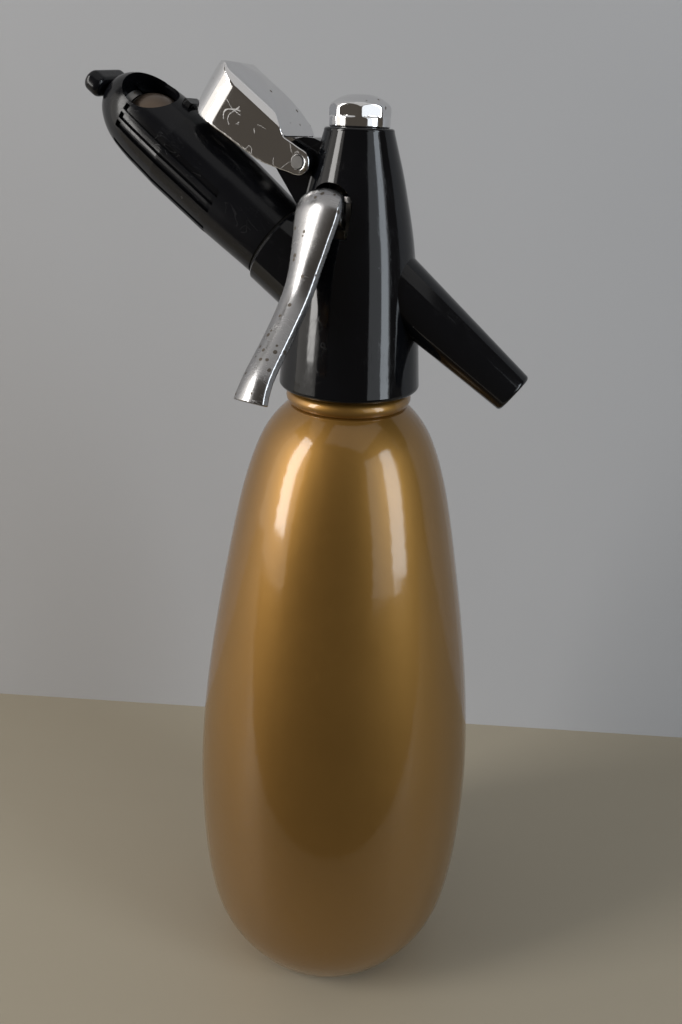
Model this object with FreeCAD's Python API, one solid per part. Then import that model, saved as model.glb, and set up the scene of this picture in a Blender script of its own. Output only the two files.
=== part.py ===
import FreeCAD, Part
import math
import os

# Soda siphon. Millimetres and degrees. +Z is up, the origin is the middle of the foot,
# the spout points to +X and the charger holder to -X.

V = FreeCAD.Vector

# ---------------------------------------------------------------- driving dimensions
# Fits
running_fit = 0.05        # radial gap of a pin, screw or sliding piece in its bore
free_gap = 0.4            # gap kept beside faces that move past each other
side_gap = 0.2            # gap at each side of a piece that swings between two cheeks
through = 60.0            # length of a cutter that goes right through a wall

# Bottle: outside radius against height, foot to shoulder
bottle_stations = [
    (0.0, 29.5), (3.0, 34.2), (8.7, 38.4), (18.4, 43.5), (33.0, 46.9), (52.0, 48.5),
    (72.0, 48.9), (91.0, 48.2), (110.5, 46.4), (130.0, 43.8), (149.5, 40.6),
    (169.0, 37.0), (183.5, 34.0), (193.5, 31.4), (202.5, 28.3), (209.5, 24.7),
    (214.0, 21.0), (216.4, 18.4),
]
bottle_wall = 1.3
base_thickness = 2.4
base_height = 15.0        # the base is written as a node of its own up to here
foot_groove = (24.2, 26.0, 0.7)   # inner radius, outer radius, depth
neck_ring_radius = 19.3   # rolled ring under the head
neck_ring_gap = 0.4       # ring above the last station of the shoulder
neck_ring_inset = 0.9     # foot of the ring inside the edge of the shoulder
neck_ring_height = 4.6
neck_radius = 14.0        # outside of the threaded neck
neck_bore = 11.6
neck_length = 14.6        # above the ring
throat_depth = 2.6        # straight bore below the ring
neck_ring_base = bottle_stations[-1][0] + neck_ring_gap
neck_ring_top = neck_ring_base + neck_ring_height
neck_top = neck_ring_top + neck_length

# Neck washer
washer_height = 1.8
washer_side_gap = 0.2     # inside; half as much outside

# Head casing: outside radius against height above its foot
casing_lift = 0.8         # foot of the casing above the ring of the bottle
casing_profile = [
    (1.4, 21.5), (6.8, 21.05), (14.5, 20.4), (22.2, 19.65), (30.0, 18.85), (37.8, 17.9),
    (45.5, 16.65), (53.3, 14.9), (61.0, 13.0), (67.8, 11.0), (71.8, 9.8),
]
casing_crown = 0.9        # top of the casing above its last station
casing_wall = 2.0
casing_foot_round = 1.4
casing_top_round = 0.8
casing_bottom = neck_ring_top + casing_lift
casing_stations = [(casing_bottom + rise, radius) for rise, radius in casing_profile]
casing_top = casing_stations[-1][0] + casing_crown
casing_lid = casing_top - casing_wall

# Valve body inside the casing
skirt_length = 14.6       # skirt below the roof, over the neck
body_skirt_radius = 17.2
deck_thick = 4.6
tower_radius = 9.2
tower_height = 19.6       # above the deck
chamber_radius = 6.4
chamber_rise = 6.2        # floor of the chamber above the deck
seat_height = 1.4
seat_radius = 3.4
liquid_bore = 2.3
outlet_rise = 4.6         # middle of the outlet above the seat
outlet_start = 2.0        # outward from the axis
outlet_end = 9.0
boss_radius = 5.4         # stub under the roof that takes the dip tube
boss_length = 6.3
gas_hole_radius = 1.2
gas_hole_offset = 9.8
gas_pillar_radius = 2.6
gas_pillar_height = 9.6   # above the deck
body_roof = neck_top + washer_height
body_bottom = body_roof - skirt_length
body_deck = body_roof + deck_thick
tower_top = body_deck + tower_height
chamber_floor = body_deck + chamber_rise
seat_top = chamber_floor + seat_height
boss_bottom = body_roof - boss_length
gas_hole_top = body_deck + gas_pillar_height

# Dip tube and its nut
dip_radius = 3.5
dip_bore = 2.3
dip_bottom = 9.0
dip_notch = (1.2, 2.5)    # half width, depth
dip_flange_radius = 5.2
dip_flange_thick = 1.2
dip_nut_width = 14.4      # across flats
dip_nut_height = 7.0
dip_nut_lip = 1.5

# Dispensing lever. Its plane stands at this angle round the bottle from the spout
lever_angle = -104.0
lever_pivot_reach = 10.8
lever_pivot_rise = 10.0   # above the tower
lever_pivot = (lever_pivot_reach, tower_top + lever_pivot_rise)
lever_pin_radius = 1.5
lever_width = 8.9
lever_hub_radius = 3.3
lever_course = [          # outward, height above the pivot, width of the arm
    (13.2, 4.2, 8.9), (15.2, 5.5, 11.4), (17.6, 4.0, 13.4), (19.6, 0.0, 13.4),
    (21.4, -5.0, 11.8), (23.6, -11.0, 10.0), (26.9, -18.1, 8.9), (32.0, -25.1, 8.6),
    (38.4, -32.5, 8.6), (44.0, -38.8, 9.1), (47.4, -44.8, 10.4),
]
lever_path = [(reach, lever_pivot[1] + rise, width) for reach, rise, width in lever_course]
lever_back = 1.6          # thickness behind the path
lever_front = 2.3         # thickness in front of the path
lever_edge = 0.7          # height of its side edge in front of the path
lever_neck = [            # joins hub and arm: outward from the pivot, height above it
    (-2.6, -1.0), (3.2, 0.0), (4.8, 3.6), (3.2, 6.8), (-0.4, 3.2),
]
lever_opening = 3.0       # the arm is clear of the yoke from here outward
fork_gap = 5.8
fork_thick = 1.2          # above and below
fork_relief = 0.6         # from the hub to the end of the gap
fork_nose = 2.0
fork_nose_rise = 1.3      # above the pivot
fork_nose_height = lever_pivot[1] + fork_nose_rise
slot_width = 14.6
slot_drop = 5.0           # foot of the slot below the pivot
slot_rise = 9.2           # top of the slot above the pivot
slot_inner = 8.0
slot_base = lever_pivot[1] - slot_drop
slot_top = lever_pivot[1] + slot_rise

# Dispensing valve
stem_radius = 2.5
plug_radius = 4.9
plug_thick = 2.6
plug_seating = 1.6        # depth of the plug in its cup
cup_radius = 5.5
cup_height = 5.0          # above the seat
collar_radius = 5.2
collar_gap = 0.3          # between the nose of the lever and the collar of the stem
collar_thick = 1.6
collar_base = fork_nose_height + fork_nose + collar_gap
gland_depth = 4.4         # below the top of the tower
gland_bottom = tower_top - gland_depth
gland_slot = (0.7, 0.8)   # half width, foot above the tower
seal_section = 1.0        # half thickness of the stem seal ring
seal_recess = 2.1
seal_side_gap = 0.2
spring_wire = 0.55
spring_radius = 3.75      # to the middle of the wire
spring_turns = 7
spring_rise = 3.1         # end of the cap bore above the casing
spring_seat = casing_top + spring_rise
stem_drop = 7.5           # top of the stem below the end of the spring
stem_top = spring_seat - stem_drop
cup_top = seat_top + cup_height

# Yoke: the slotted tube that carries the lever pin and takes the cap
yoke_bore = 6.0
yoke_radius = 8.0
yoke_flange_thick = 2.0
yoke_slot_width = 10.4
yoke_slot_drop = 7.0      # below the pivot
yoke_slot_rise = 11.0     # above the pivot
yoke_cheek = 1.6
yoke_cheek_reach = 12.9
yoke_cheek_height = 8.4
yoke_slot_base = lever_pivot[1] - yoke_slot_drop
yoke_slot_top = lever_pivot[1] + yoke_slot_rise

# Cap
cap_radius = 8.5
cap_band_height = 2.6
cap_height = 8.4
cap_crown = 3.4           # height of the dome
cap_foot_chamfer = 0.3
cap_dome = [               # inside the edge, below the top
    (0.35, 2.7), (1.1, 2.0), (2.7, 1.05), (4.7, 0.35), (6.6, 0.08),
]
cap_spigot_radius = 5.9
cap_spigot_depth = 8.0
cap_bore = 4.8
cap_flat_count = 8
cap_flat_offset = 8.0     # axis to flat
cap_flat_turn = -3.0

# Spout
spout_rise = 20.7         # above the deck, where its axis would meet the bottle axis
spout_drop = 36.1         # slope below level
spout_root = body_deck + spout_rise
spout_root_radius = 10.25
spout_taper = 0.0645
spout_length = 62.8
spout_bore = 4.0
spout_spigot_radius = 4.2
spout_seat_start = 12.0
spout_seal_thick = 1.2
spout_spigot_start = spout_seat_start + spout_seal_thick
spout_spigot_end = 20.0
spout_neck_radius = 6.0
spout_boss_start = 6.0
spout_boss_end = 16.5
spout_boss_reach = 15.8   # the boss is trimmed to this radius from the bottle axis
spout_neck_end = 30.0
spout_step = 22.0         # where the narrow bore opens to the wide one
spout_mouth_edge = 1.2
spout_mouth_round = 1.08

# Charger holder, measured along its own axis from the bottle axis
holder_drop = 2.5         # above the deck, where its axis meets the bottle axis
holder_rise = 36.5        # slope above level
holder_root = body_deck + holder_drop
boss_start = 4.0
boss_end = 17.0           # valve-body boss that takes the collar
holder_boss_radius = 6.0
holder_boss_reach = 16.8  # the boss is trimmed to this radius from the bottle axis
gas_cell_start = 12.2
spigot_start = 13.2
spigot_radius = 4.0
collar_neck_radius = 6.8
collar_body_radius = 13.2
collar_sunk = 8.0         # body of the collar behind the end of the boss, before the casing trims it
collar_edge = 0.8         # chamfer next to the sleeve
collar_shoulder = 30.0
collar_thread_radius = 10.85
collar_thread_length = 9.5
collar_end = collar_shoulder + collar_thread_length
gas_bore = 2.4
pin_radius = 0.9
pin_tip_radius = 0.45
pin_bore = 0.4
pin_flange_radius = 3.0
pin_flange_start = 18.5
pin_flange_thick = 1.0
pin_cone = 1.2
pin_reach = 3.6           # tip beyond the face of the charger seal
charger_seal_start = 22.6
charger_seal_thick = 2.0
charger_seal_radius = 5.6
charger_seal_grip = 2.0   # cell wall beyond the seal
pin_tip = charger_seal_start + pin_reach

# Check valve
check_start = 0.4         # inside the spigot
check_lip_radius = 1.1
check_lip_thick = 0.8
check_throat_radius = 0.3
check_body_radius = 1.6
check_shoulder = 1.6
check_body = 1.2
check_rim = 1.2
check_slit = (0.1, 0.8)   # half width, half length

# Charger
charger_length = 65.0
charger_radius = 9.3
charger_neck_radius = 4.4
charger_neck_length = 7.0
charger_shoulder_length = 8.5
charger_shoulder_swell = (0.7, 0.6)
charger_wall = 1.3
charger_pierced_radius = 1.1
charger_start = charger_seal_start + charger_seal_thick
charger_end = charger_start + charger_length

# Sleeve. Its far end is placed from the end of the charger
washer_thick = 0.8
washer_inset = 0.5        # washer inside the foot of the sleeve
sleeve_start = collar_shoulder + washer_thick
sleeve_foot_radius = 12.1
sleeve_inset = 0.3        # sleeve inside the round of the collar
sleeve_body_radius = collar_body_radius - sleeve_inset
sleeve_full_start = 50.0  # from here the outside is a plain cylinder
sleeve_full_before = 19.6 # up to here before the end of the charger
sleeve_full = (sleeve_full_start, charger_end - sleeve_full_before)
sleeve_nose_profile = [   # beyond the end of the charger, radius
    (-12.6, 12.5), (-5.6, 11.9), (-0.6, 10.8), (3.2, 9.0), (5.7, 7.0), (7.0, 5.2),
]
sleeve_nose = [(charger_end + beyond, radius) for beyond, radius in sleeve_nose_profile]
sleeve_end = sleeve_nose[-1][0]
charger_side_gap = 0.45
bore_end_gap = 2.0        # the rounded end of the bore beyond the charger
pad_pocket_radius = 5.0
pad_pocket_gap = 3.1      # the end of the pocket beyond the charger
thread_relief = 0.5
sleeve_bore = charger_radius + charger_side_gap
sleeve_bore_end = charger_end + bore_end_gap
pad_pocket_end = charger_end + pad_pocket_gap
window_before = 13.0      # window before and beyond the end of the charger
window_beyond = 3.4
window_width = 15.4
window_turn = -26.0       # angle of the window from the upper side
window_start = charger_end - window_before
window_end = charger_end + window_beyond
panel_count = 5           # the window takes the sixth place
panel_pitch = 60.0
panel_phase = 30.0        # angle of the first panel from the upper side
panel_start = 48.5
panel_before = 3.6        # end of the panels before the end of the charger
panel_end = charger_end - panel_before
panel_width = 7.4
panel_depth = 1.0
panel_inner = 4.0
rib_count = 3
rib_width = 0.8

# Thumb screw and its pad
screw_radius = 3.0
screw_sunk = 1.0          # screw inside the bar
pad_radius = 4.6
pad_thick = 0.9           # at its middle
pad_gap = 0.3             # left between the pad and the charger
pad_rim = 1.2             # depth of the rim round the charger
screw_nut_bore = screw_radius + running_fit
bar_length = 16.8
bar_width = 6.4
bar_thick = 5.4
bar_gap = 0.5             # between sleeve and bar
bar_round = 1.6
bar_turn = -5.0
bar_start = sleeve_end + bar_gap

# Hood lever over the holder. Its outline is given along and above the holder axis
hood_pin_back = 13.5      # behind the bottle axis
hood_pin_drop = 9.2       # below the top of the casing
hood_pin_at = (-hood_pin_back, casing_top - hood_pin_drop)
hood_half_width = 11.6
hood_wall = 1.0
hood_pin_radius = 1.7
hood_pin_head = 0.3
hood_lug_radius = 3.5
hood_lug_low = (3.3, 0.8)         # where the lower edge leaves the lug: below and before the pin
hood_lug_high = (3.4, 0.4)        # where the upper edge leaves it: above and beyond the pin
hood_nose = 72.2
hood_roof_end = 42.5
hood_roof_lap = 1.2       # cheek beyond the end of the roof
hood_cheek_top = 27.0     # height of the cheek where it meets the roof
hood_cheek_foot = 17.8
hood_crown_radius = 18.0
hood_hollow_shift = (2.5, 0.3)    # lowers the hollow so that the rim stays open
hood_side = [
    (38.1, 19.9), (45.6, 17.4), (57.0, 16.2), (64.6, 15.2), (68.0, 14.8), (69.5, 16.8),
    (71.4, 21.0), (72.1, 25.6), (70.1, 29.8), (66.4, 32.0), (61.6, 32.6), (56.5, 32.4),
    (52.2, 31.6), (48.5, 30.4), (44.7, 28.7), (41.0, 26.2),
]

# Small catch on the sleeve beyond the nose of the hood
catch_gap = 0.7
catch_position = hood_nose + catch_gap
catch_length = 2.4
catch_height = 13.9
catch_width = 7.0

# Bracket moulded on the casing, from the hood pin
bracket_half_width = 7.0
bracket_boss_radius = 3.4
bracket_outline = [
    (5.5, -15.7), (-1.1, -12.5), (-8.8, -1.5), (-8.4, 1.7), (-6.4, 3.5), (-3.9, 4.9),
    (-2.1, 5.9), (0.0, 6.3), (2.7, 6.2), (5.3, 5.3), (8.5, 2.3),
]
bracket_side = [(hood_pin_at[0] + x, hood_pin_at[1] + rise) for x, rise in bracket_outline]


# ---------------------------------------------------------------- small shape helpers
def spline(points):
    curve = Part.BSplineCurve()
    curve.interpolate(points)
    return curve.toShape()


def line(start, end):
    return Part.makeLine(start, end)


def polygon_solid(points, push):
    corners = list(points) + [points[0]]
    return Part.Face(Part.makePolygon(corners)).extrude(push)


def at(radius, height):
    return V(radius, 0, height)


def spin(edges):
    face = Part.Face(Part.Wire(edges))
    return face.revolve(V(0, 0, 0), V(0, 0, 1), 360)


def lathe(outline):
    corners = [at(radius, height) for radius, height in outline]
    corners.append(corners[0])
    return Part.Face(Part.makePolygon(corners)).revolve(V(0, 0, 0), V(0, 0, 1), 360)


def rod(radius, low, high):
    return Part.makeCylinder(radius, high - low, V(0, 0, low))


def tube(bore, radius, low, high):
    return rod(radius, low, high).cut(rod(bore, low - 1, high + 1))


def block(x_range, y_range, z_range):
    size = [r[1] - r[0] for r in (x_range, y_range, z_range)]
    return Part.makeBox(size[0], size[1], size[2], V(x_range[0], y_range[0], z_range[0]))


def hexagon(width, low, high):
    radius = width / math.sqrt(3)
    corners = []
    for i in range(6):
        turn = math.radians(60 * i)
        corners.append(V(radius * math.cos(turn), radius * math.sin(turn), low))
    return polygon_solid(corners, V(0, 0, high - low))


def cross_rod(radius, x, z, half_length):
    return Part.makeCylinder(radius, 2 * half_length, V(x, -half_length, z), V(0, 1, 0))


def placed(shape, placement):
    moved = shape.copy()
    moved.Placement = placement.multiply(moved.Placement)
    return moved


def on_holder(shape):
    """Local Z runs out along the holder, local X is its upper side."""
    turn = FreeCAD.Rotation(V(0, 1, 0), holder_rise - 90)
    return placed(shape, FreeCAD.Placement(V(0, 0, holder_root), turn))


def on_spout(shape):
    """Local Z runs out along the spout."""
    turn = FreeCAD.Rotation(V(0, 1, 0), 90 + spout_drop)
    return placed(shape, FreeCAD.Placement(V(0, 0, spout_root), turn))


def on_lever(shape):
    """Local X points outward in the plane of the lever."""
    return placed(shape, FreeCAD.Placement(V(0, 0, 0), FreeCAD.Rotation(V(0, 0, 1), lever_angle)))


# ---------------------------------------------------------------- bottle
def inset(stations, wall):
    """The same outline moved inward by the wall, square to the surface."""
    result = []
    for i in range(1, len(stations) - 1):
        rise = stations[i + 1][0] - stations[i - 1][0]
        run = stations[i + 1][1] - stations[i - 1][1]
        length = math.hypot(rise, run)
        height = stations[i][0] + wall * run / length
        radius = stations[i][1] - wall * rise / length
        result.append((height, radius))
    return result


def whole_bottle():
    outside = [at(radius, height) for height, radius in bottle_stations]
    inside = [at(radius, height) for height, radius in inset(bottle_stations, bottle_wall)]
    shoulder = outside[-1]
    ring_low = at(shoulder.x - neck_ring_inset, neck_ring_base)
    ring_high = at(ring_low.x, neck_ring_top)
    ring_out = at(neck_ring_radius, (neck_ring_base + neck_ring_top) / 2)
    floor_edge = at(foot_groove[1], base_thickness)
    throat = at(neck_bore, neck_ring_base - throat_depth)
    edges = [
        spline(outside),
        line(shoulder, ring_low),
        Part.Arc(ring_low, ring_out, ring_high).toShape(),
        line(ring_high, at(neck_radius, neck_ring_top)),
        line(at(neck_radius, neck_ring_top), at(neck_radius, neck_top)),
        line(at(neck_radius, neck_top), at(neck_bore, neck_top)),
        line(at(neck_bore, neck_top), throat),
        spline([throat] + inside[::-1] + [floor_edge]),
        line(floor_edge, at(0, base_thickness)),
        line(at(0, base_thickness), at(0, 0)),
        line(at(0, 0), outside[0]),
    ]
    groove = tube(foot_groove[0], foot_groove[1], -1, foot_groove[2])
    return spin(edges).cut(groove)


def make_bottle():
    return whole_bottle().cut(rod(through, -1, base_height))


def make_bottle_base():
    return whole_bottle().common(rod(through, -1, base_height))


def make_neck_washer():
    inner = neck_bore + washer_side_gap
    outer = neck_radius - washer_side_gap / 2
    return tube(inner, outer, neck_top, body_roof)


# ---------------------------------------------------------------- casing
def casing_solid():
    outside = [at(radius, height) for height, radius in casing_stations]
    foot_corner = at(outside[0].x - casing_foot_round, casing_bottom)
    top_corner = at(outside[-1].x - casing_top_round, casing_top)
    foot_round = at(outside[0].x - casing_foot_round * 0.286, casing_bottom + casing_foot_round * 0.286)
    top_round = at(outside[-1].x - casing_top_round * 0.3125, casing_top - casing_top_round * 0.25)
    return spin([
        Part.Arc(foot_corner, foot_round, outside[0]).toShape(),
        spline(outside),
        Part.Arc(outside[-1], top_round, top_corner).toShape(),
        line(top_corner, at(0, casing_top)),
        line(at(0, casing_top), at(0, casing_bottom)),
        line(at(0, casing_bottom), foot_corner),
    ])


def casing_hollow():
    low = casing_bottom - 1
    inside = [at(radius - casing_wall, height) for height, radius in casing_stations[:-1]]
    inside.append(at(yoke_radius + free_gap, casing_lid))
    return spin([
        line(at(0, low), at(inside[0].x, low)),
        line(at(inside[0].x, low), inside[0]),
        spline(inside),
        line(inside[-1], at(0, casing_lid)),
        line(at(0, casing_lid), at(0, low)),
    ])


def lever_slot():
    half = slot_width / 2
    arch = half * 0.8
    straight = slot_top - arch
    low_left = V(slot_inner, -half, slot_base)
    low_right = V(slot_inner, half, slot_base)
    high_left = V(slot_inner, -half, straight)
    high_right = V(slot_inner, half, straight)
    wire = Part.Wire([
        line(low_left, low_right),
        line(low_right, high_right),
        Part.Arc(high_right, V(slot_inner, 0, slot_top), high_left).toShape(),
        line(high_left, low_left),
    ])
    return on_lever(Part.Face(wire).extrude(V(through, 0, 0)))


def bracket_solid():
    corners = [V(x, -bracket_half_width, z) for x, z in bracket_side]
    web = polygon_solid(corners, V(0, 2 * bracket_half_width, 0))
    inner_reach = hood_half_width - hood_wall - side_gap
    boss = cross_rod(bracket_boss_radius, hood_pin_at[0], hood_pin_at[1], inner_reach)
    return web.fuse(boss)


def make_casing():
    shape = casing_solid().fuse(bracket_solid()).cut(casing_hollow())
    shape = shape.cut(lever_slot())
    shape = shape.cut(rod(cap_spigot_radius + running_fit, casing_lid - 1, casing_top + 1))
    shape = shape.cut(on_holder(rod(collar_neck_radius + running_fit, gas_cell_start, collar_shoulder)))
    shape = shape.cut(on_spout(rod(spout_neck_radius + running_fit, spout_seat_start, spout_neck_end + 5)))
    pin_hole = cross_rod(hood_pin_radius, hood_pin_at[0], hood_pin_at[1], hood_half_width)
    return shape.cut(pin_hole).removeSplitter()


# ---------------------------------------------------------------- valve body
def make_valve_body():
    skirt = rod(body_skirt_radius, body_bottom, body_deck)
    skirt = skirt.cut(rod(neck_radius + running_fit, body_bottom - 1, body_roof))
    shape = skirt.fuse(rod(tower_radius, body_roof, tower_top))
    shape = shape.fuse(rod(boss_radius, boss_bottom, body_roof + 1))
    spout_boss = on_spout(rod(spout_neck_radius, spout_boss_start, spout_boss_end))
    spout_boss = spout_boss.common(rod(spout_boss_reach, body_deck, tower_top))
    holder_boss = on_holder(rod(holder_boss_radius, boss_start, boss_end))
    holder_boss = holder_boss.common(rod(holder_boss_reach, body_deck - 1, tower_top))
    pillar = Part.makeCylinder(gas_pillar_radius, gas_hole_top - body_roof - 1,
                               V(-gas_hole_offset, 0, body_roof + 1))
    shape = shape.fuse(spout_boss).fuse(holder_boss).fuse(pillar)
    shape = shape.cut(rod(chamber_radius, seat_top, tower_top + 1))
    shape = shape.cut(tube(seat_radius, chamber_radius, chamber_floor, seat_top + 1))
    shape = shape.cut(rod(liquid_bore, boss_bottom - 1, seat_top + 1))
    spigot_bore = rod(spout_spigot_radius + running_fit, spout_seat_start, spout_spigot_end)
    shape = shape.cut(on_spout(spigot_bore))
    neck_room = rod(spout_neck_radius + running_fit, spout_boss_end, spout_neck_end)
    shape = shape.cut(on_spout(neck_room))
    outlet = Part.makeCylinder(liquid_bore, outlet_end - outlet_start,
                               V(outlet_start, 0, seat_top + outlet_rise), V(1, 0, 0))
    shape = shape.cut(outlet)
    shape = shape.cut(on_holder(rod(spigot_radius + running_fit, gas_cell_start, collar_shoulder)))
    gas_hole = Part.makeCylinder(gas_hole_radius, gas_hole_top - body_roof + 1,
                                 V(-gas_hole_offset, 0, body_roof - 1))
    return shape.cut(gas_hole).removeSplitter()


def make_dip_tube():
    shape = rod(dip_radius, dip_bottom, boss_bottom)
    shape = shape.fuse(rod(dip_flange_radius, boss_bottom - dip_flange_thick, boss_bottom))
    shape = shape.cut(rod(dip_bore, dip_bottom - 1, boss_bottom + 1))
    half, depth = dip_notch
    notch = block((-dip_radius - 1, dip_radius + 1), (-half, half), (dip_bottom - 1, dip_bottom + depth))
    return shape.cut(notch)


def make_dip_nut():
    lip_top = boss_bottom - dip_flange_thick
    low = lip_top - dip_nut_lip
    shape = hexagon(dip_nut_width, low, low + dip_nut_height)
    shape = shape.cut(rod(boss_radius + running_fit, lip_top, low + dip_nut_height + 1))
    return shape.cut(rod(dip_radius + running_fit, low - 1, lip_top + 1))


# ---------------------------------------------------------------- dispensing valve
def make_valve_stem():
    cup_floor = seat_top + plug_thick - plug_seating
    shape = rod(stem_radius, cup_floor + 1, stem_top)
    shape = shape.fuse(rod(cup_radius, cup_floor, cup_top))
    shape = shape.cut(rod(plug_radius, cup_floor - 1, seat_top + plug_thick))
    collar = rod(collar_radius, collar_base, collar_base + collar_thick)
    return shape.fuse(collar).removeSplitter()


def make_valve_plug():
    return rod(plug_radius, seat_top, seat_top + plug_thick)


def make_gland_nut():
    top = tower_top + yoke_flange_thick
    shape = rod(chamber_radius - running_fit, gland_bottom, top)
    shape = shape.cut(tube(yoke_bore - running_fit, chamber_radius + 1, tower_top, top + 1))
    shape = shape.cut(rod(stem_radius + running_fit, gland_bottom - 1, top + 1))
    recess = rod(stem_radius + 2 * seal_section + seal_side_gap, gland_bottom - 1,
                 gland_bottom + seal_recess)
    shape = shape.cut(recess)
    half, foot = gland_slot
    slot = block((-chamber_radius, chamber_radius), (-half, half), (tower_top + foot, top + 1))
    return shape.cut(slot)


def make_stem_seal():
    major = stem_radius + running_fit + seal_section
    middle = V(0, 0, gland_bottom + seal_recess - seal_section)
    return Part.makeTorus(major, seal_section, middle)


def make_valve_spring():
    low = collar_base + collar_thick + spring_wire
    high = spring_seat - spring_wire
    helix = Part.makeHelix((high - low) / spring_turns, high - low, spring_radius)
    helix.translate(V(0, 0, low))
    section = Part.Wire(Part.makeCircle(spring_wire, V(spring_radius, 0, low), V(0, 1, 0)))
    return Part.Wire(helix.Edges).makePipeShell([section], True, True)


def make_yoke():
    shape = rod(yoke_radius, tower_top, casing_lid)
    shape = shape.fuse(rod(tower_radius, tower_top, tower_top + yoke_flange_thick))
    x, z = lever_pivot
    half = yoke_slot_width / 2
    ears = block((0, yoke_cheek_reach), (-half - yoke_cheek, half + yoke_cheek),
                 (z - yoke_cheek_height / 2, z + yoke_cheek_height / 2))
    shape = shape.fuse(on_lever(ears))
    shape = shape.cut(rod(yoke_bore, tower_top - 1, casing_lid + 1))
    opening = block((0, through), (-half, half), (yoke_slot_base, yoke_slot_top))
    shape = shape.cut(on_lever(opening))
    return shape.cut(on_lever(cross_rod(lever_pin_radius, x, z, through))).removeSplitter()


def make_top_cap():
    band_top = casing_top + cap_band_height
    cap_top = casing_top + cap_height
    outline = [
        (0, casing_top), (cap_radius - cap_foot_chamfer, casing_top),
        (cap_radius, casing_top + cap_foot_chamfer), (cap_radius, cap_top - cap_crown),
    ]
    for inside, below in cap_dome:
        outline.append((cap_radius - inside, cap_top - below))
    outline.append((0, cap_top))
    head = lathe(outline)
    for i in range(cap_flat_count):
        flat = block((cap_flat_offset, through), (-through, through), (band_top, cap_top + 1))
        turn = FreeCAD.Rotation(V(0, 0, 1), cap_flat_turn + 360 / cap_flat_count * i)
        head = head.cut(placed(flat, FreeCAD.Placement(V(0, 0, 0), turn)))
    shape = head.fuse(rod(cap_spigot_radius, casing_top - cap_spigot_depth, casing_top + 1))
    return shape.cut(rod(cap_bore, casing_top - cap_spigot_depth - 1, spring_seat))


# ---------------------------------------------------------------- dispensing lever
def lever_section(middle, along, width):
    """Flat back, short sides and a crowned front, square to the path."""
    out = V(-along.z, 0, along.x)
    side = V(0, 1, 0) * (width / 2)
    back = middle - out * lever_back
    edge = middle + out * lever_edge
    front = middle + out * lever_front
    return Part.Wire([
        line(back + side, back - side),
        line(back - side, edge - side),
        Part.Arc(edge - side, front, edge + side).toShape(),
        line(edge + side, back + side),
    ])


def lever_arm():
    course = spline([at(x, z) for x, z, width in lever_path])
    sections = []
    for x, z, width in lever_path:
        along = course.tangentAt(course.Curve.parameter(at(x, z)))
        sections.append(lever_section(at(x, z), along, width))
    return Part.Wire([course]).makePipeShell(sections, True, False)


def make_lever():
    x, z = lever_pivot
    half = lever_width / 2
    hub = cross_rod(lever_hub_radius, x, z, half)
    corners = [V(x + reach, -half, z + rise) for reach, rise in lever_neck]
    neck = polygon_solid(corners, V(0, lever_width, 0))
    fork = block((0, x), (-half, half), (z - fork_thick, fork_nose_height + fork_thick))
    nose = cross_rod(fork_nose, 0, fork_nose_height, half)
    shape = lever_arm().fuse(hub).fuse(neck).fuse(fork).fuse(nose)
    gap = block((-through, x - lever_hub_radius - fork_relief), (-fork_gap / 2, fork_gap / 2),
                (z - through, z + through))
    shape = shape.cut(gap)
    inside = rod(yoke_bore - free_gap, z - through, z + through)
    outside = block((lever_opening, through), (-through, through), (z - through, z + through))
    shape = shape.common(inside.fuse(outside))
    bore = cross_rod(lever_pin_radius + running_fit, x, z, through)
    return on_lever(shape.cut(bore).removeSplitter())


def make_lever_pin():
    x, z = lever_pivot
    reach = yoke_slot_width / 2 + yoke_cheek
    return on_lever(cross_rod(lever_pin_radius, x, z, reach))


# ---------------------------------------------------------------- spout
def make_spout():
    start = spout_seat_start
    rounded = spout_length - spout_mouth_edge
    radius = spout_root_radius - spout_taper * rounded
    horn = Part.makeCone(spout_root_radius - spout_taper * start, radius, rounded - start,
                         V(0, 0, start))
    lip = Part.makeCylinder(radius, spout_mouth_edge, V(0, 0, rounded))
    rim = [edge for edge in lip.Edges if edge.BoundBox.ZMin > spout_length - 0.01]
    lip = lip.makeFillet(spout_mouth_round, rim)
    outer = on_spout(horn.fuse(lip)).cut(casing_solid())
    neck = on_spout(rod(spout_neck_radius, spout_boss_end, spout_neck_end))
    spigot = on_spout(rod(spout_spigot_radius, spout_spigot_start, spout_spigot_end))
    shape = outer.fuse(neck).fuse(spigot)
    shape = shape.cut(on_spout(rod(liquid_bore, start, spout_step + 1)))
    return shape.cut(on_spout(rod(spout_bore, spout_step, spout_length + 1))).removeSplitter()


def make_spout_seal():
    return on_spout(tube(liquid_bore + free_gap, spout_spigot_radius, spout_seat_start,
                         spout_spigot_start))


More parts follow.
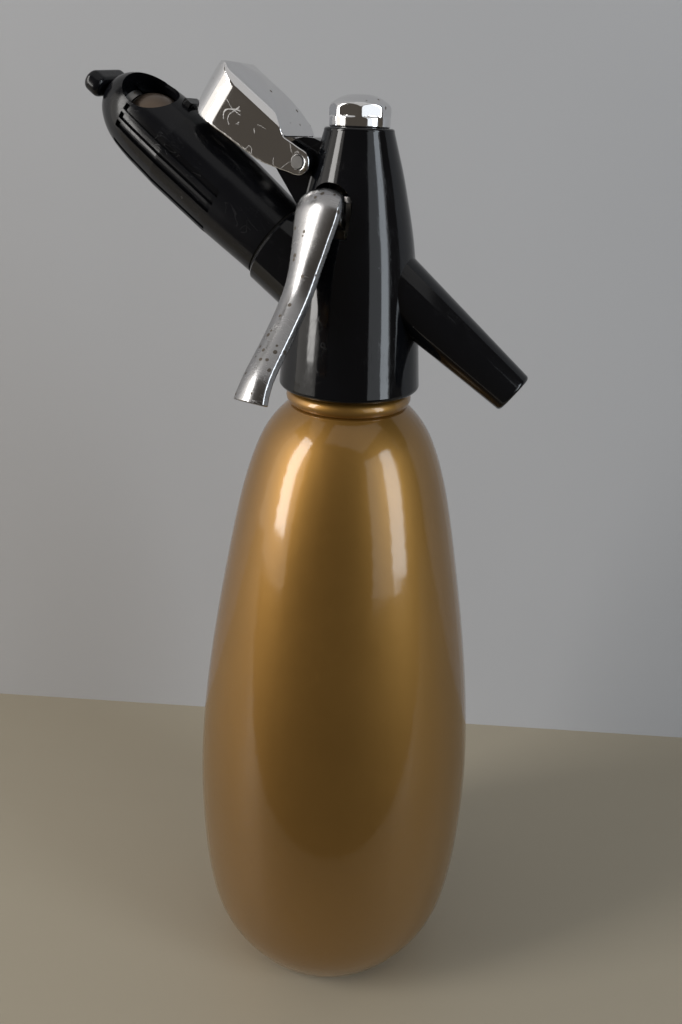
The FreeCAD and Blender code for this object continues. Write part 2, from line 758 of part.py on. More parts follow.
# ---------------------------------------------------------------- charger holder
def make_holder_collar():
    foot = boss_end - collar_sunk
    body = lathe([
        (0, foot), (collar_body_radius, foot),
        (collar_body_radius, collar_shoulder - collar_edge),
        (collar_body_radius - collar_edge, collar_shoulder), (0, collar_shoulder),
    ])
    seated = on_holder(body).cut(casing_solid())
    core = lathe([
        (0, spigot_start), (spigot_radius, spigot_start), (spigot_radius, boss_end),
        (collar_neck_radius, boss_end), (collar_neck_radius, collar_shoulder - 1),
        (collar_thread_radius, collar_shoulder - 1), (collar_thread_radius, collar_end),
        (0, collar_end),
    ])
    cell = lathe([
        (0, spigot_start - 1), (gas_bore, spigot_start - 1), (gas_bore, pin_flange_start),
        (pin_flange_radius, pin_flange_start), (pin_flange_radius, charger_seal_start),
        (charger_seal_radius + running_fit, charger_seal_start),
        (charger_seal_radius + running_fit, charger_start + charger_seal_grip),
        (sleeve_bore - side_gap, charger_start + charger_neck_length + charger_seal_grip),
        (sleeve_bore - side_gap, collar_end + 1), (0, collar_end + 1),
    ])
    shape = seated.fuse(on_holder(core)).cut(on_holder(cell))
    return shape.removeSplitter()


def make_piercing_pin():
    shape = lathe([
        (pin_bore, pin_flange_start), (pin_flange_radius - running_fit, pin_flange_start),
        (pin_flange_radius - running_fit, pin_flange_start + pin_flange_thick),
        (pin_radius, pin_flange_start + pin_flange_thick),
        (pin_radius, pin_tip - pin_cone), (pin_tip_radius, pin_tip), (pin_bore, pin_tip),
    ])
    return on_holder(shape)


def make_check_valve():
    radius = gas_bore - running_fit
    low = spigot_start + check_start
    body = low + check_shoulder
    rim = body + check_body
    top = rim + check_rim
    shape = lathe([
        (0, low), (check_lip_radius, low), (check_body_radius, body), (check_body_radius, rim),
        (radius, rim), (radius, top), (0, top),
    ])
    cone = Part.makeCone(check_throat_radius, check_lip_radius, top - low,
                         V(0, 0, low + check_lip_thick))
    half_wide, half_long = check_slit
    slit = block((-half_wide, half_wide), (-half_long, half_long), (spigot_start, body))
    return on_holder(shape.cut(cone).cut(slit))


def make_charger_seal():
    return on_holder(tube(pin_radius + 0.3, charger_seal_radius, charger_seal_start,
                          charger_seal_start + charger_seal_thick))


def charger_outline(shrink):
    """Radius against position, from the neck end to the round end."""
    shoulder = charger_start + charger_neck_length
    full = shoulder + charger_shoulder_length
    round_radius = charger_radius - shrink
    round_middle = charger_end - charger_radius
    neck = charger_neck_radius - shrink
    diagonal = math.sqrt(0.5) * round_radius
    outward, back = charger_shoulder_swell
    shoulder_mid = at((neck + round_radius) / 2 + outward, (shoulder + full) / 2 - back)
    return [
        line(at(0, charger_start + shrink), at(neck, charger_start + shrink)),
        line(at(neck, charger_start + shrink), at(neck, shoulder)),
        Part.Arc(at(neck, shoulder), shoulder_mid, at(round_radius, full)).toShape(),
        line(at(round_radius, full), at(round_radius, round_middle)),
        Part.Arc(at(round_radius, round_middle), at(diagonal, round_middle + diagonal),
                 at(0, round_middle + round_radius)).toShape(),
        line(at(0, round_middle + round_radius), at(0, charger_start + shrink)),
    ]


def make_charger():
    shape = spin(charger_outline(0)).cut(spin(charger_outline(charger_wall)))
    pierced = rod(charger_pierced_radius, charger_start - 1, charger_start + charger_wall + 1)
    return on_holder(shape.cut(pierced))


def make_holder_washer():
    return on_holder(tube(collar_thread_radius + running_fit, sleeve_foot_radius - washer_inset,
                          collar_shoulder, sleeve_start))


def sleeve_solid(shrink):
    foot = at(sleeve_foot_radius - shrink, sleeve_start)
    full = [at(sleeve_body_radius - shrink, position) for position in sleeve_full]
    nose = [at(radius - shrink, position) for position, radius in sleeve_nose]
    return spin([
        line(at(0, sleeve_start), foot),
        line(foot, full[0]),
        line(full[0], full[1]),
        spline([full[1]] + nose),
        line(nose[-1], at(0, sleeve_end)),
        line(at(0, sleeve_end), at(0, sleeve_start)),
    ])


def grip_panels():
    """Long hollows round the sleeve, each with raised ribs left in it."""
    cuts = []
    groove = (panel_width - rib_width * (rib_count - 1)) / rib_count
    floor = sleeve_solid(panel_depth)
    for i in range(panel_count):
        angle = panel_phase + panel_pitch * i
        turn = FreeCAD.Placement(V(0, 0, 0), FreeCAD.Rotation(V(0, 0, 1), angle))
        for j in range(rib_count):
            low = -panel_width / 2 + (groove + rib_width) * j
            hollow = block((panel_inner, sleeve_body_radius + 1), (low, low + groove),
                           (panel_start, panel_end))
            cuts.append(placed(hollow, turn).cut(floor))
    return cuts


def make_holder_sleeve():
    shape = sleeve_solid(0)
    catch = block((0, catch_height), (-catch_width / 2, catch_width / 2),
                  (catch_position, catch_position + catch_length))
    shape = shape.fuse(catch)
    bore_round = Part.makeSphere(sleeve_bore, V(0, 0, sleeve_bore_end - sleeve_bore))
    bore = rod(sleeve_bore, sleeve_start - 1, sleeve_bore_end - sleeve_bore)
    pocket = rod(pad_pocket_radius, sleeve_bore_end - sleeve_bore, pad_pocket_end)
    shape = shape.cut(bore.fuse(bore_round).fuse(pocket))
    shape = shape.cut(rod(collar_thread_radius + running_fit, sleeve_start - 1, collar_end + thread_relief))
    for cut in grip_panels():
        shape = shape.cut(cut)
    half = window_width / 2
    reach = screw_radius + side_gap
    outer = sleeve_body_radius + 1
    window = block((reach, outer), (-half, half), (window_start + half, window_end - half))
    for middle in (window_start + half, window_end - half):
        window = window.fuse(Part.makeCylinder(half, outer - reach, V(reach, 0, middle), V(1, 0, 0)))
    turn = FreeCAD.Placement(V(0, 0, 0), FreeCAD.Rotation(V(0, 0, 1), window_turn))
    shape = shape.cut(placed(window, turn))
    return on_holder(shape.cut(rod(screw_nut_bore, charger_end, sleeve_end + 1)).removeSplitter())


def make_pressure_pad():
    dish = Part.makeSphere(charger_radius + pad_gap, V(0, 0, charger_end - charger_radius))
    shape = rod(pad_radius, charger_end - pad_rim, charger_end + pad_gap + pad_thick)
    return on_holder(shape.cut(dish))


def make_thumb_screw():
    shape = rod(screw_radius, charger_end + pad_gap + pad_thick, bar_start + screw_sunk)
    half_long = bar_length / 2
    half_wide = bar_width / 2
    bar = block((-half_wide, half_wide), (-half_long + half_wide, half_long - half_wide),
                (bar_start, bar_start + bar_thick))
    for side in (-1, 1):
        middle = V(0, side * (half_long - half_wide), bar_start)
        bar = bar.fuse(Part.makeCylinder(half_wide, bar_thick, middle))
    bar = bar.removeSplitter()
    bar = bar.makeFillet(bar_round, [edge for edge in bar.Edges if edge.BoundBox.ZLength < 0.01])
    turn = FreeCAD.Placement(V(0, 0, 0), FreeCAD.Rotation(V(0, 0, 1), bar_turn))
    return on_holder(shape.fuse(placed(bar, turn)).removeSplitter())


# ---------------------------------------------------------------- hood lever
def hood_solid(shrink):
    """The filled outside of the hood in holder axes, made smaller by shrink."""
    half = hood_half_width - shrink
    middle = hood_nose - hood_half_width
    plan = block((-through, through), (-half, half), (0, middle))
    plan = plan.fuse(Part.makeCylinder(half, 2 * through, V(-through, 0, middle), V(1, 0, 0)))
    crown_top = max(height for position, height in hood_side)
    crown = Part.makeCylinder(hood_crown_radius - shrink, 2 * through,
                              V(crown_top - hood_crown_radius, 0, 0))
    corners = [V(height, -through, position) for position, height in hood_side]
    side = polygon_solid(corners, V(0, 2 * through, 0))
    if shrink:
        wide = side.copy()
        wide.translate(V(-hood_hollow_shift[0], 0, -hood_hollow_shift[1]))
        deep = side.copy()
        deep.translate(V(-shrink, 0, -shrink * 0.6))
        side = wide.fuse(deep)
    return plan.common(crown).common(side)


def hood_pin_local():
    x, z = hood_pin_at
    rise = math.radians(holder_rise)
    drop = z - holder_root
    along = -x * math.cos(rise) + drop * math.sin(rise)
    above = x * math.sin(rise) + drop * math.cos(rise)
    return along, above


def make_hood():
    along, above = hood_pin_local()
    shell = hood_solid(0).cut(hood_solid(hood_wall))
    shell = shell.cut(block((-through, through), (-through, through), (0, hood_roof_end)))
    half = hood_half_width
    cheek_end = hood_roof_end + hood_roof_lap
    cheek = polygon_solid([
        V(above - hood_lug_low[0], -half, along - hood_lug_low[1]),
        V(hood_side[0][1], -half, hood_side[0][0]),
        V(hood_cheek_foot, -half, cheek_end), V(hood_cheek_top, -half, cheek_end),
        V(above + hood_lug_high[0], -half, along + hood_lug_high[1]),
    ], V(0, 2 * half, 0))
    cheek = cheek.fuse(Part.makeCylinder(hood_lug_radius, 2 * half, V(above, -half, along),
                                         V(0, 1, 0)))
    inner = half - hood_wall
    cheek = cheek.cut(block((-through, through), (-inner, inner), (0, 2 * through)))
    shape = shell.fuse(cheek)
    bore = Part.makeCylinder(hood_pin_radius + running_fit, 2 * through,
                             V(above, -through, along), V(0, 1, 0))
    return on_holder(shape.cut(bore).removeSplitter())


def make_hood_pin():
    x, z = hood_pin_at
    return cross_rod(hood_pin_radius, x, z, hood_half_width + hood_pin_head)


# ---------------------------------------------------------------- write every piece
pieces = {
    "bottle": make_bottle,
    "bottle_base": make_bottle_base,
    "neck_washer": make_neck_washer,
    "casing": make_casing,
    "valve_body": make_valve_body,
    "dip_tube": make_dip_tube,
    "dip_nut": make_dip_nut,
    "valve_stem": make_valve_stem,
    "valve_plug": make_valve_plug,
    "gland_nut": make_gland_nut,
    "stem_seal": make_stem_seal,
    "valve_spring": make_valve_spring,
    "yoke": make_yoke,
    "top_cap": make_top_cap,
    "lever": make_lever,
    "lever_pin": make_lever_pin,
    "spout": make_spout,
    "spout_seal": make_spout_seal,
    "holder_collar": make_holder_collar,
    "piercing_pin": make_piercing_pin,
    "check_valve": make_check_valve,
    "charger_seal": make_charger_seal,
    "charger": make_charger,
    "holder_washer": make_holder_washer,
    "holder_sleeve": make_holder_sleeve,
    "pressure_pad": make_pressure_pad,
    "thumb_screw": make_thumb_screw,
    "hood": make_hood,
    "hood_pin": make_hood_pin,
}

os.makedirs("parts", exist_ok=True)
for name, make in pieces.items():
    shape = make()
    if shape.ShapeType == "Compound" and len(shape.Solids) == 1:
        shape = shape.Solids[0]
    print(name, shape.isValid(), len(shape.Solids), round(shape.Volume, 1))
    shape.exportStep("parts/" + name + ".step")
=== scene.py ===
import math

import bpy
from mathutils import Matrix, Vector


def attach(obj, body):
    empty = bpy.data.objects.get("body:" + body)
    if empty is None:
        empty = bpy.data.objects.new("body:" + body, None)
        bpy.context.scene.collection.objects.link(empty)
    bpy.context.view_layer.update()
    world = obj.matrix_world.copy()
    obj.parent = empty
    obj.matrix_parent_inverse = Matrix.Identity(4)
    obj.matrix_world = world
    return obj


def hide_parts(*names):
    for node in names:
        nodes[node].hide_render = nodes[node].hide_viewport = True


# Soda siphon. Metres, in the frame of the part: +Z up, the spout towards +X.
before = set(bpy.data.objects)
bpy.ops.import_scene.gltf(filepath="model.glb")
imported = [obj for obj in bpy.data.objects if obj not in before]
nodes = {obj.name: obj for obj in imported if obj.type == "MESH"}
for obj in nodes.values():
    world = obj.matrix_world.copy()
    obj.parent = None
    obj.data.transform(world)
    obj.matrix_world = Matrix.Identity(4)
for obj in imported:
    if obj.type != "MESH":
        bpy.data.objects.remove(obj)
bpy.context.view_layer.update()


# ---------------------------------------------------------------- bottle
# The pressure bottle is drawn aluminium with a rolled ring under the head. It is sprayed
# with a gold metallic lacquer and a clear coat, which has picked up small dark specks.
def new_group(name, inputs, outputs):
    """A shader node group with float inputs {name: default} and named outputs."""
    group = bpy.data.node_groups.new(name, "ShaderNodeTree")
    for label, value in inputs.items():
        socket = group.interface.new_socket(label, in_out="INPUT", socket_type="NodeSocketFloat")
        socket.default_value = value
    for label, kind in outputs.items():
        group.interface.new_socket(label, in_out="OUTPUT", socket_type=kind)
    entry = group.nodes.new("NodeGroupInput")
    leave = group.nodes.new("NodeGroupOutput")
    return group, entry, leave


def add(tree, kind, **settings):
    """A new shader node with its settings."""
    node = tree.nodes.new(kind)
    for key, value in settings.items():
        setattr(node, key, value)
    return node


def math_node(tree, operation, first, second, clamp=False):
    """A Math node on two values or sockets, returned as its output."""
    node = add(tree, "ShaderNodeMath", operation=operation, use_clamp=clamp)
    for socket, value in zip(node.inputs, (first, second)):
        if isinstance(value, (int, float)):
            socket.default_value = value
        else:
            tree.links.new(value, socket)
    return node.outputs[0]


def build_handling_marks():
    """Soft clouds and fine grain that vary the gloss, as hands and dust leave them."""
    group, entry, leave = new_group(
        "Handling marks",
        {"Cloud scale": 30.0, "Grain scale": 900.0, "Base": 0.2, "Spread": 0.1},
        {"Roughness": "NodeSocketFloat", "Height": "NodeSocketFloat", "Cloud": "NodeSocketFloat"},
    )
    place = add(group, "ShaderNodeTexCoord")
    cloud = add(group, "ShaderNodeTexNoise")
    cloud.inputs["Detail"].default_value = 5.0
    cloud.inputs["Roughness"].default_value = 0.62
    grain = add(group, "ShaderNodeTexNoise")
    grain.inputs["Detail"].default_value = 2.0
    for texture, label in ((cloud, "Cloud scale"), (grain, "Grain scale")):
        group.links.new(place.outputs["Object"], texture.inputs["Vector"])
        group.links.new(entry.outputs[label], texture.inputs["Scale"])
    centred = math_node(group, "SUBTRACT", cloud.outputs["Fac"], 0.5)
    spread = math_node(group, "MULTIPLY", centred, entry.outputs["Spread"])
    doubled = math_node(group, "MULTIPLY", spread, 2.0)
    rough = math_node(group, "ADD", doubled, entry.outputs["Base"], clamp=True)
    group.links.new(rough, leave.inputs["Roughness"])
    group.links.new(grain.outputs["Fac"], leave.inputs["Height"])
    group.links.new(cloud.outputs["Fac"], leave.inputs["Cloud"])
    return group


def build_specks():
    """Scattered small spots: only a share of the cells of the pattern carries one."""
    group, entry, leave = new_group(
        "Specks", {"Scale": 150.0, "Radius": 0.12, "Share": 0.2}, {"Mask": "NodeSocketFloat"})
    place = add(group, "ShaderNodeTexCoord")
    cells = add(group, "ShaderNodeTexVoronoi")
    group.links.new(place.outputs["Object"], cells.inputs["Vector"])
    group.links.new(entry.outputs["Scale"], cells.inputs["Scale"])
    chance = add(group, "ShaderNodeSeparateColor")
    group.links.new(cells.outputs["Color"], chance.inputs["Color"])
    chosen = math_node(group, "LESS_THAN", chance.outputs["Red"], entry.outputs["Share"])
    size = math_node(group, "MULTIPLY", entry.outputs["Radius"], chance.outputs["Green"])
    inside = math_node(group, "LESS_THAN", cells.outputs["Distance"], size)
    group.links.new(math_node(group, "MULTIPLY", chosen, inside), leave.inputs["Mask"])
    return group


scratch_tilts = (0.3, 1.25, 2.3)    # radians, one direction of hairlines each
scratch_stretch = 14.0              # length of a hairline against its width
scratch_half_width = 0.004          # of the noise value that counts as a line
scratch_cover = 0.52                # noise above this value carries hairlines


def build_scratches():
    """Fine hairlines in several directions, broken up into short lengths."""
    group, entry, leave = new_group(
        "Scratches", {"Scale": 60.0, "Amount": 0.5}, {"Mask": "NodeSocketFloat"})
    place = add(group, "ShaderNodeTexCoord")
    total = None
    for tilt in scratch_tilts:
        turn = add(group, "ShaderNodeMapping")
        turn.inputs["Rotation"].default_value = (tilt, tilt * 0.7, tilt * 1.9)
        turn.inputs["Scale"].default_value = (1.0, scratch_stretch, 1.0)
        lines = add(group, "ShaderNodeTexNoise")
        lines.inputs["Detail"].default_value = 1.0
        group.links.new(place.outputs["Object"], turn.inputs["Vector"])
        group.links.new(turn.outputs["Vector"], lines.inputs["Vector"])
        group.links.new(entry.outputs["Scale"], lines.inputs["Scale"])
        middle = math_node(group, "SUBTRACT", lines.outputs["Fac"], 0.5)
        distance = math_node(group, "ABSOLUTE", middle, 0.0)
        near = math_node(group, "LESS_THAN", distance, scratch_half_width)
        total = near if total is None else math_node(group, "ADD", total, near, clamp=True)
    patch = add(group, "ShaderNodeTexNoise")
    group.links.new(place.outputs["Object"], patch.inputs["Vector"])
    group.links.new(entry.outputs["Scale"], patch.inputs["Scale"])
    shown = math_node(group, "GREATER_THAN", patch.outputs["Fac"], scratch_cover)
    broken = math_node(group, "MULTIPLY", total, shown)
    group.links.new(math_node(group, "MULTIPLY", broken, entry.outputs["Amount"]), leave.inputs["Mask"])
    return group


handling_marks = build_handling_marks()
specks = build_specks()
scratches = build_scratches()


def place_group(tree, group, **values):
    """A node group in a material; Cloud_scale=30.0 sets the input named Cloud scale."""
    node = add(tree, "ShaderNodeGroup", node_tree=group)
    for label, value in values.items():
        node.inputs[label.replace("_", " ")].default_value = value
    return node


def mix_colour(tree, mask, first, second):
    """From the first colour to the second as the mask goes from 0 to 1."""
    node = add(tree, "ShaderNodeMix", data_type="RGBA")
    for socket, value in ((node.inputs["A"], first), (node.inputs["B"], second)):
        if isinstance(value, tuple):
            socket.default_value = value + (1.0,)
        else:
            tree.links.new(value, socket)
    tree.links.new(mask, node.inputs["Factor"])
    return node.outputs["Result"]


scratch_dulling = 0.35    # roughness that a hairline adds
speck_dulling = 0.3       # roughness that a speck adds


def finish_material(name, colour, worn, base, spread, metallic=0.0, coat=0.0, coat_roughness=0.05,
                    cloud_scale=30.0, grain_scale=900.0, bump=0.05, grain_depth=0.00002,
                    speck_scale=150.0, speck_radius=0.12, speck_share=0.1,
                    speck_colour=(0.02, 0.015, 0.01), scratch=0.2, scratch_scale=60.0, ior=1.5):
    """A solid finish: clouded colour, specks, hairlines, uneven gloss and a fine grain."""
    material = bpy.data.materials.new(name)
    material.use_nodes = True
    tree = material.node_tree
    shader = tree.nodes["Principled BSDF"]
    marks = place_group(tree, handling_marks, Cloud_scale=cloud_scale, Grain_scale=grain_scale,
                        Base=base, Spread=spread)
    dots = place_group(tree, specks, Scale=speck_scale, Radius=speck_radius, Share=speck_share)
    lines = place_group(tree, scratches, Scale=scratch_scale, Amount=scratch)
    clouded = mix_colour(tree, marks.outputs["Cloud"], colour, worn)
    spotted = mix_colour(tree, dots.outputs["Mask"], clouded, speck_colour)
    tree.links.new(spotted, shader.inputs["Base Color"])
    line_dulling = math_node(tree, "MULTIPLY", lines.outputs["Mask"], scratch_dulling)
    rough = math_node(tree, "ADD", marks.outputs["Roughness"], line_dulling, clamp=True)
    dot_dulling = math_node(tree, "MULTIPLY", dots.outputs["Mask"], speck_dulling)
    spoiled = math_node(tree, "ADD", rough, dot_dulling, clamp=True)
    tree.links.new(spoiled, shader.inputs["Roughness"])
    dents = math_node(tree, "ADD", dots.outputs["Mask"], lines.outputs["Mask"])
    height = math_node(tree, "SUBTRACT", marks.outputs["Height"], dents)
    relief = add(tree, "ShaderNodeBump")
    relief.inputs["Strength"].default_value = bump
    relief.inputs["Distance"].default_value = grain_depth
    tree.links.new(height, relief.inputs["Height"])
    tree.links.new(relief.outputs["Normal"], shader.inputs["Normal"])
    shader.inputs["Metallic"].default_value = metallic
    shader.inputs["Coat Weight"].default_value = coat
    shader.inputs["Coat Roughness"].default_value = coat_roughness
    shader.inputs["IOR"].default_value = ior
    return material


def dress(material, *names):
    """The material goes on the frame's own solids of these names."""
    for name in names:
        slots = nodes[name].data.materials
        slots.clear()
        slots.append(material)


gold_lacquer = finish_material(
    "gold lacquer", (0.250, 0.128, 0.023), (0.300, 0.158, 0.034), base=0.47, spread=0.08, metallic=0.80,
    coat=0.9, coat_roughness=0.10, cloud_scale=16.0, grain_scale=2600.0, bump=0.16,
    grain_depth=0.00003, speck_scale=240.0, speck_radius=0.16, speck_share=0.02, scratch=0.12)
dress(gold_lacquer, "bottle", "bottle_base")


# ---------------------------------------------------------------- neck seal and holder seals
# Black rubber rings: between bottle and head, between collar and sleeve, round the stem and
# at the charger. They are moulded, matt and slightly dusty.
black_rubber = finish_material(
    "black rubber", (0.022, 0.022, 0.023), (0.045, 0.044, 0.042), base=0.68, spread=0.12,
    cloud_scale=120.0, grain_scale=1600.0, bump=0.35, scratch=0.0, speck_share=0.0)
dress(black_rubber, "neck_washer", "holder_washer", "stem_seal", "spout_seal", "check_valve",
      "charger_seal", "valve_plug")


# ---------------------------------------------------------------- head casing, collar and spout
# The outside of the head is glossy black moulded plastic. It is polished by hands, carries
# a few hairlines and holds a little pale dust.
gloss_black = finish_material(
    "glossy black plastic", (0.0020, 0.0022, 0.0030), (0.0042, 0.0046, 0.0060), base=0.09,
    spread=0.08, cloud_scale=45.0, grain_scale=700.0, bump=0.05, scratch=0.45, scratch_scale=80.0,
    speck_scale=420.0, speck_radius=0.14, speck_share=0.03, speck_colour=(0.04, 0.04, 0.04), ior=1.42)
dress(gloss_black, "casing", "spout", "holder_collar")


# ---------------------------------------------------------------- holder sleeve
# The sleeve over the charger is the same black plastic with a satin skin, worn paler where
# fingers grip the ribbed panels.
satin_black = finish_material(
    "satin black plastic", (0.0030, 0.0032, 0.0042), (0.0065, 0.0068, 0.0085), base=0.19, spread=0.10,
    cloud_scale=55.0, grain_scale=1200.0, bump=0.18, scratch=0.5, scratch_scale=95.0,
    speck_scale=380.0, speck_radius=0.2, speck_share=0.05, speck_colour=(0.04, 0.04, 0.04), ior=1.33)
dress(satin_black, "holder_sleeve")


merge_distance = 0.000005


def soften(name, node, grain, passes):
    """A closed skin over a node, with every sharp edge worn to a small round."""
    bpy.ops.object.select_all(action="DESELECT")
    piece = bpy.data.objects.new(name, nodes[node].data.copy())
    bpy.context.scene.collection.objects.link(piece)
    piece.select_set(True)
    bpy.context.view_layer.objects.active = piece
    bpy.ops.mesh.customdata_custom_splitnormals_clear()
    bpy.ops.object.mode_set(mode="EDIT")
    bpy.ops.mesh.select_all(action="SELECT")
    bpy.ops.mesh.remove_doubles(threshold=merge_distance)
    bpy.ops.mesh.normals_make_consistent(inside=False)
    bpy.ops.object.mode_set(mode="OBJECT")
    skin = piece.modifiers.new("skin", "REMESH")
    skin.mode = "VOXEL"
    skin.voxel_size = grain
    skin.use_smooth_shade = True
    bpy.ops.object.modifier_apply(modifier=skin.name)
    ease = piece.modifiers.new("ease", "SMOOTH")
    ease.factor = 0.5
    ease.iterations = passes
    bpy.ops.object.modifier_apply(modifier=ease.name)
    bpy.ops.object.shade_smooth()
    return piece


def finish_piece(piece, material, body, node):
    """The piece takes its material, rides on its body and stands for the node."""
    piece.data.materials.clear()
    piece.data.materials.append(material)
    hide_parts(node)
    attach(piece, body)


# ---------------------------------------------------------------- thumb screw
# A moulded black wing bar on a steel-cored screw. Its corners are rounded for the thumb.
wing_bar = soften("wing_bar", "thumb_screw", grain=0.00028, passes=5)
finish_piece(wing_bar, satin_black, "screw", "thumb_screw")


# ---------------------------------------------------------------- chrome: cap, lever and hood
# Pressed and cast brass under chromium plate. The plate is bright, with pinholes and thin
# dull places where the metal below has begun to show.
bright_chrome = finish_material(
    "bright chrome", (0.80, 0.80, 0.815), (0.74, 0.735, 0.73), base=0.075, spread=0.07,
    metallic=1.0, cloud_scale=70.0, grain_scale=800.0, bump=0.06, scratch=0.5, scratch_scale=90.0,
    speck_scale=520.0, speck_radius=0.26, speck_share=0.10, speck_colour=(0.16, 0.13, 0.10))
worn_chrome = finish_material(
    "worn chrome", (0.45, 0.45, 0.465), (0.33, 0.325, 0.32), base=0.25, spread=0.16,
    metallic=1.0, cloud_scale=85.0, grain_scale=900.0, bump=0.14, scratch=0.6, scratch_scale=110.0,
    speck_scale=560.0, speck_radius=0.40, speck_share=0.26, speck_colour=(0.12, 0.105, 0.09))


# The cap is turned from bar with flats for a key, and its corners are eased.
cap_skin = soften("cap_skin", "top_cap", grain=0.00022, passes=4)
finish_piece(cap_skin, bright_chrome, "head", "top_cap")

# The hood is pressed from sheet, so its bends are round and its rim is dressed.
hood_shell = soften("hood_shell", "hood", grain=0.00034, passes=8)
finish_piece(hood_shell, bright_chrome, "hood", "hood")

# The lever is a casting, ground and buffed until its edges are soft.
lever_casting = soften("lever_casting", "lever", grain=0.00028, passes=10)
finish_piece(lever_casting, worn_chrome, "lever", "lever")


# ---------------------------------------------------------------- pins, stem, spring and pad
# Small turned steel pieces, left plain: the two hinge pins, the valve stem and its spring,
# the piercing pin and the pad that presses on the charger.
plain_steel = finish_material(
    "plain steel", (0.26, 0.255, 0.25), (0.19, 0.185, 0.18), base=0.34, spread=0.14, metallic=1.0,
    cloud_scale=160.0, grain_scale=1800.0, bump=0.2, scratch=0.4, scratch_scale=200.0,
    speck_scale=700.0, speck_radius=0.3, speck_share=0.12, speck_colour=(0.12, 0.08, 0.05))
dress(plain_steel, "hood_pin", "lever_pin", "valve_stem", "valve_spring", "piercing_pin", "pressure_pad")


# ---------------------------------------------------------------- valve body and yoke
# Turned brass inside the head: the body and the yoke are nickel plated, the gland nut and
# the dip-tube nut are left as plain brass that has darkened.
nickel_plate = finish_material(
    "nickel plate", (0.40, 0.385, 0.355), (0.30, 0.285, 0.26), base=0.30, spread=0.10, metallic=1.0,
    cloud_scale=90.0, grain_scale=1500.0, bump=0.12, speck_share=0.06, speck_scale=500.0,
    speck_radius=0.2, scratch=0.3)
turned_brass = finish_material(
    "turned brass", (0.62, 0.43, 0.17), (0.45, 0.29, 0.11), base=0.30, spread=0.14, metallic=1.0,
    cloud_scale=110.0, grain_scale=1500.0, bump=0.14, speck_share=0.08, speck_scale=500.0,
    speck_radius=0.2, scratch=0.3)
dress(nickel_plate, "valve_body", "yoke")
dress(turned_brass, "gland_nut", "dip_nut")


# ---------------------------------------------------------------- dip tube
# The tube that carries the water up is extruded off-white plastic, slightly waxy.
dip_plastic = finish_material(
    "off-white plastic", (0.70, 0.69, 0.63), (0.62, 0.60, 0.52), base=0.42, spread=0.08,
    cloud_scale=60.0, grain_scale=1100.0, bump=0.1, speck_share=0.01, scratch=0.1)
dress(dip_plastic, "dip_tube")


# ---------------------------------------------------------------- gas charger
# The charger is a deep-drawn steel capsule under a thin brownish lacquer; its round end
# shows in the window of the sleeve.
charger_lacquer = finish_material(
    "lacquered steel", (0.11, 0.075, 0.05), (0.17, 0.13, 0.10), base=0.34, spread=0.14, metallic=0.85,
    coat=0.3, coat_roughness=0.2, cloud_scale=100.0, grain_scale=1300.0, bump=0.14,
    speck_scale=420.0, speck_radius=0.26, speck_share=0.08, scratch=0.4, scratch_scale=120.0)
dress(charger_lacquer, "charger")


# ---------------------------------------------------------------- table and wall
# A plain pale table top with a plain pale wall behind it. Neither is part of the siphon.
bpy.ops.object.select_all(action="DESELECT")
wall_turn = math.radians(17.4)
wall_distance = 0.128     # behind the axis of the siphon
wall_middle = 0.6         # height of the middle of the wall
table_front = 0.13        # front edge before the axis of the siphon
stage_width = 2.6
towards_wall = Vector((-math.sin(wall_turn), math.cos(wall_turn), 0.0))
wall_place = towards_wall * wall_distance
table_place = towards_wall * (wall_distance - table_front) / 2.0
bpy.ops.mesh.primitive_plane_add(size=1.0, location=(table_place.x, table_place.y, 0.0),
                                 rotation=(0.0, 0.0, wall_turn))
table = bpy.context.object
table.name = "table"
table.scale = (stage_width, wall_distance + table_front, 1.0)
bpy.ops.object.select_all(action="DESELECT")
bpy.ops.mesh.primitive_plane_add(size=stage_width, location=(wall_place.x, wall_place.y, wall_middle),
                                 rotation=(math.radians(90), 0.0, wall_turn))
wall = bpy.context.object
wall.name = "wall"


def plain_surface(name, colour, roughness, scale):
    """Paint or a plain sheet: faint clouds of a slightly darker tone, uneven gloss."""
    material = bpy.data.materials.new(name)
    material.use_nodes = True
    tree = material.node_tree
    shader = tree.nodes["Principled BSDF"]
    marks = place_group(tree, handling_marks, Cloud_scale=scale, Grain_scale=400.0,
                        Base=roughness, Spread=0.08)
    darker = tuple(value * 0.96 for value in colour)
    clouded = mix_colour(tree, marks.outputs["Cloud"], colour, darker)
    tree.links.new(clouded, shader.inputs["Base Color"])
    tree.links.new(marks.outputs["Roughness"], shader.inputs["Roughness"])
    return material


table.data.materials.append(plain_surface("table top", (0.345, 0.305, 0.232), 0.45, 6.0))
painted_wall = plain_surface("painted wall", (0.42, 0.422, 0.432), 0.85, 4.0)
wall.data.materials.append(painted_wall)

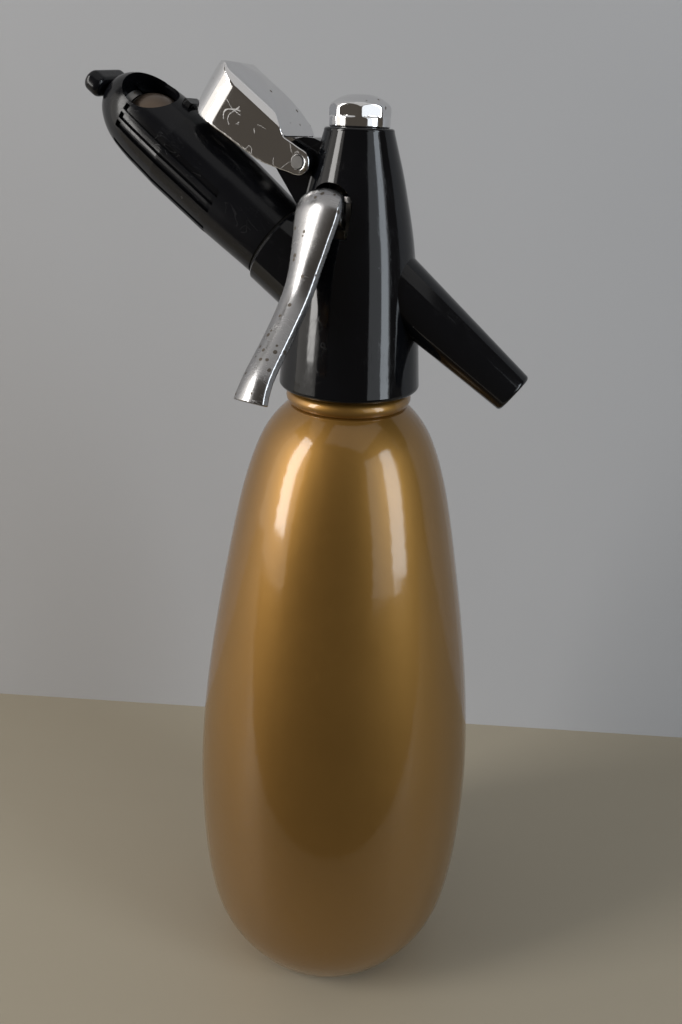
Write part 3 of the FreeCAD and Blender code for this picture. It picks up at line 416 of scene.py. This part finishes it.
# The wall is a face seen from the front only, so that the siphon is open to view from behind.
tree = painted_wall.node_tree
clear = add(tree, "ShaderNodeBsdfTransparent")
side = add(tree, "ShaderNodeNewGeometry")
either = add(tree, "ShaderNodeMixShader")
tree.links.new(side.outputs["Backfacing"], either.inputs["Fac"])
tree.links.new(tree.nodes["Principled BSDF"].outputs["BSDF"], either.inputs[1])
tree.links.new(clear.outputs["BSDF"], either.inputs[2])
tree.links.new(either.outputs["Shader"], tree.nodes["Material Output"].inputs["Surface"])


# ---------------------------------------------------------------- light and camera
# Two tall windows stand left and right of the camera, each with a broad pale curtain behind
# it, under a pale ceiling and with the weak warm light of a room.
light_target = Vector((0.0, 0.0, 0.16))    # the middle of the siphon


def window(name, place, width, height, power, colour):
    """A rectangular lamp that faces the middle of the siphon."""
    data = bpy.data.lights.new(name, "AREA")
    data.shape = "RECTANGLE"
    data.size = width
    data.size_y = height
    data.energy = power
    data.color = colour
    lamp = bpy.data.objects.new(name, data)
    bpy.context.scene.collection.objects.link(lamp)
    lamp.location = place
    towards = light_target - Vector(place)
    lamp.rotation_euler = towards.to_track_quat("-Z", "Y").to_euler()


window("left window", (-0.85, -0.75, 0.60), 0.30, 1.10, 10.5, (1.0, 0.98, 0.95))
window("left curtain", (-1.15, -0.72, 0.50), 1.20, 1.30, 6.0, (1.0, 0.96, 0.90))
window("right window", (1.07, -0.24, 0.46), 0.30, 1.00, 5.0, (0.84, 0.92, 1.0))
window("right curtain", (1.25, -0.50, 0.50), 1.00, 1.20, 4.5, (0.90, 0.95, 1.0))
window("ceiling", (0.0, -0.1, 1.3), 1.6, 1.4, 3.4, (1.0, 1.0, 1.0))

world = bpy.data.worlds.new("room light")
bpy.context.scene.world = world
world.use_nodes = True
sky = world.node_tree.nodes["Background"]
sky.inputs["Color"].default_value = (0.95, 0.82, 0.68, 1.0)
sky.inputs["Strength"].default_value = 0.08

camera_data = bpy.data.cameras.new("camera")
camera = bpy.data.objects.new("camera", camera_data)
bpy.context.scene.collection.objects.link(camera)
camera.location = (0.087291, -0.246501, 0.295852)
camera.rotation_euler = (math.radians(65.913321), math.radians(-2.088291), math.radians(20.628197))
camera_data.sensor_fit = "VERTICAL"
camera_data.sensor_height = 36.0
camera_data.lens = 30.586
camera_data.clip_start = 0.01
bpy.context.scene.camera = camera
bpy.context.scene.view_settings.view_transform = "Standard"
